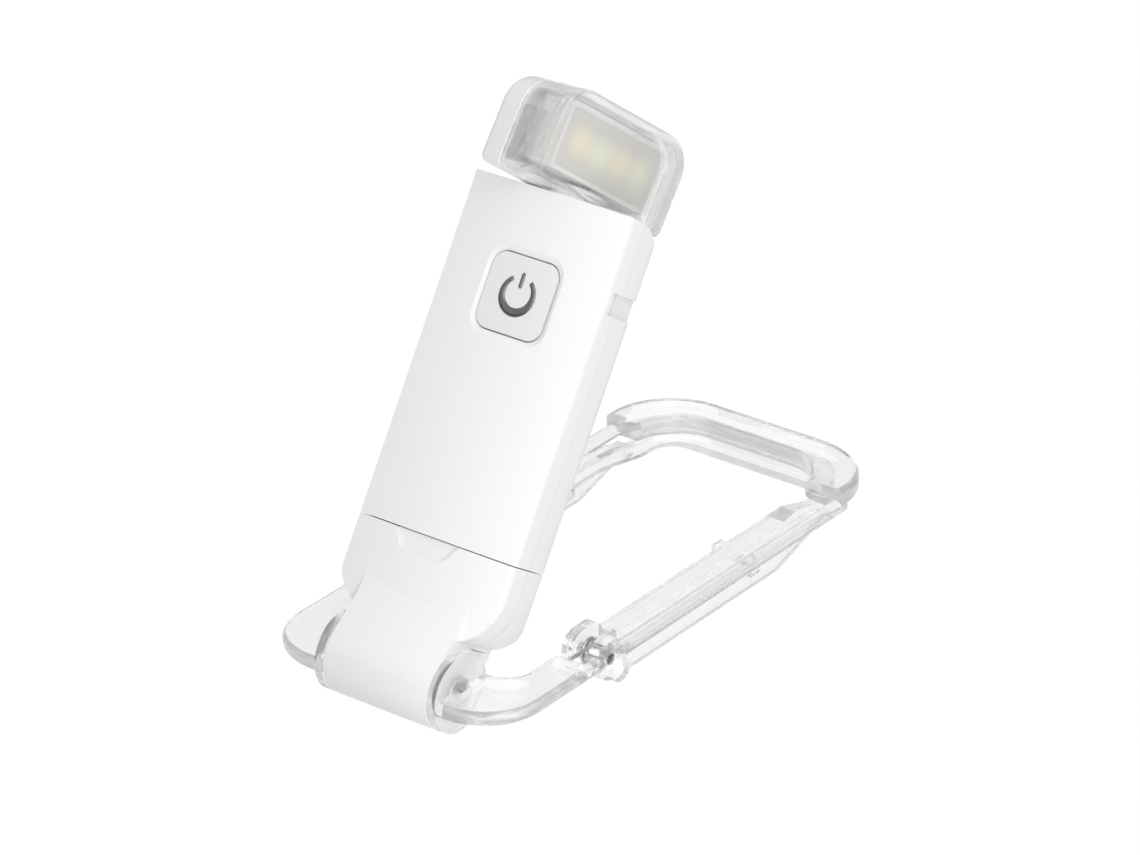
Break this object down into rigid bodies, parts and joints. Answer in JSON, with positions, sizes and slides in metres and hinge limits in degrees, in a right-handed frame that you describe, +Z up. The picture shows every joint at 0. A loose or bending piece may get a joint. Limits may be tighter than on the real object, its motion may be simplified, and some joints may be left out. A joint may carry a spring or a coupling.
{
  "type": "clip-on reading lamp",
  "caption": "Small rechargeable reading lamp: a white stick with a round-cornered power button and a swivelling clear-fronted light head, leaning from a clear sprung clip that it folds into.",
  "frame": {"origin": "centre of the overall box's base, on the plane the clip rests on", "axes": "+Z up; +Y from the stick's hinge along the clip to its far bar, so the stick leans towards +Y; -Y is the front, where the button faces; +X to the right of someone facing the button"},
  "size_m": [0.044, 0.0988, 0.0839],
  "materials": {
    "clear_plastic": "clear moulded acrylic, polished",
    "clear_cover": "clear moulded cover, polished",
    "white_plastic": "soft satin gloss",
    "white_button": "satin",
    "frosted_window": "frosted, lets light through",
    "tray_white": "moulded, plain",
    "liner_grey": "moulded, plain",
    "chrome": "bright plated",
    "steel_pin": "drawn pin",
    "spring_steel": "drawn wire",
    "board_green": "coated laminate",
    "board_white": "coated laminate",
    "switch_black": "moulded, plain",
    "cell_foil": "foil pouch",
    "tongue_black": "moulded, plain",
    "contact_gold": "plated",
    "led_warm": "phosphor under clear resin",
    "led_cool": "phosphor under clear resin",
    "wire_red": "insulated wire",
    "wire_black": "insulated wire"
  },
  "bodies": {
    "clip": {"clip_frame": "clear_plastic", "hinge_pins": "steel_pin", "pivot_pins": "steel_pin"},
    "jaw": {"clip_jaw": "clear_plastic", "spring_left": "spring_steel", "spring_right": "spring_steel"},
    "cap": {"cap_front": "white_plastic", "cap_rear": "white_plastic", "cap_liner": "liner_grey"},
    "light": {"front_shell": "white_plastic", "rear_shell": "white_plastic", "neck_ring": "white_plastic", "main_board": "board_green", "tact_switch": "switch_black", "battery_cell": "cell_foil", "usb_shell": "steel_pin", "usb_tongue": "tongue_black", "usb_contacts": "contact_gold"},
    "head": {"head_shell": "white_plastic", "head_cover": "clear_cover", "diffuser": "frosted_window", "led_tray": "tray_white", "side_grids": "clear_cover", "led_board": "board_white", "leds_warm": "led_warm", "leds_cool": "led_cool", "swivel_stem": "white_plastic", "stem_ring": "steel_pin", "lead_red": "wire_red", "lead_black": "wire_black"},
    "button": {"button_cap": "white_button", "button_symbol": "chrome"}
  },
  "joints": [
    {"name": "jaw_open", "type": "hinge", "parent": "clip", "child": "jaw", "pos_m": [0, -0.02238, 0.00604], "axis": [-1, 0, 0], "range_deg": [0, 18], "stiffness_Nm_per_rad": 0.2, "springref_deg": -34.38},
    {"name": "stick_tilt", "type": "hinge", "parent": "clip", "child": "cap", "pos_m": [0, -0.04338, 0.00604], "axis": [1, 0, 0], "range_deg": [-58.1, 120]},
    {"name": "plug_pull", "type": "slide", "parent": "cap", "child": "light", "axis": [0, 0.5278, 0.8493], "range_m": [0, 0.018]},
    {"name": "head_swivel", "type": "hinge", "parent": "light", "child": "head", "pos_m": [0, -0.00422, 0.06525], "axis": [0, 0.6027, 0.798], "range_deg": [-168, 102]},
    {"name": "button_press", "type": "slide", "parent": "light", "child": "button", "axis": [0, 0.8493, -0.5278], "range_m": [0, 0.0005], "stiffness_N_per_m": 200}
  ]
}
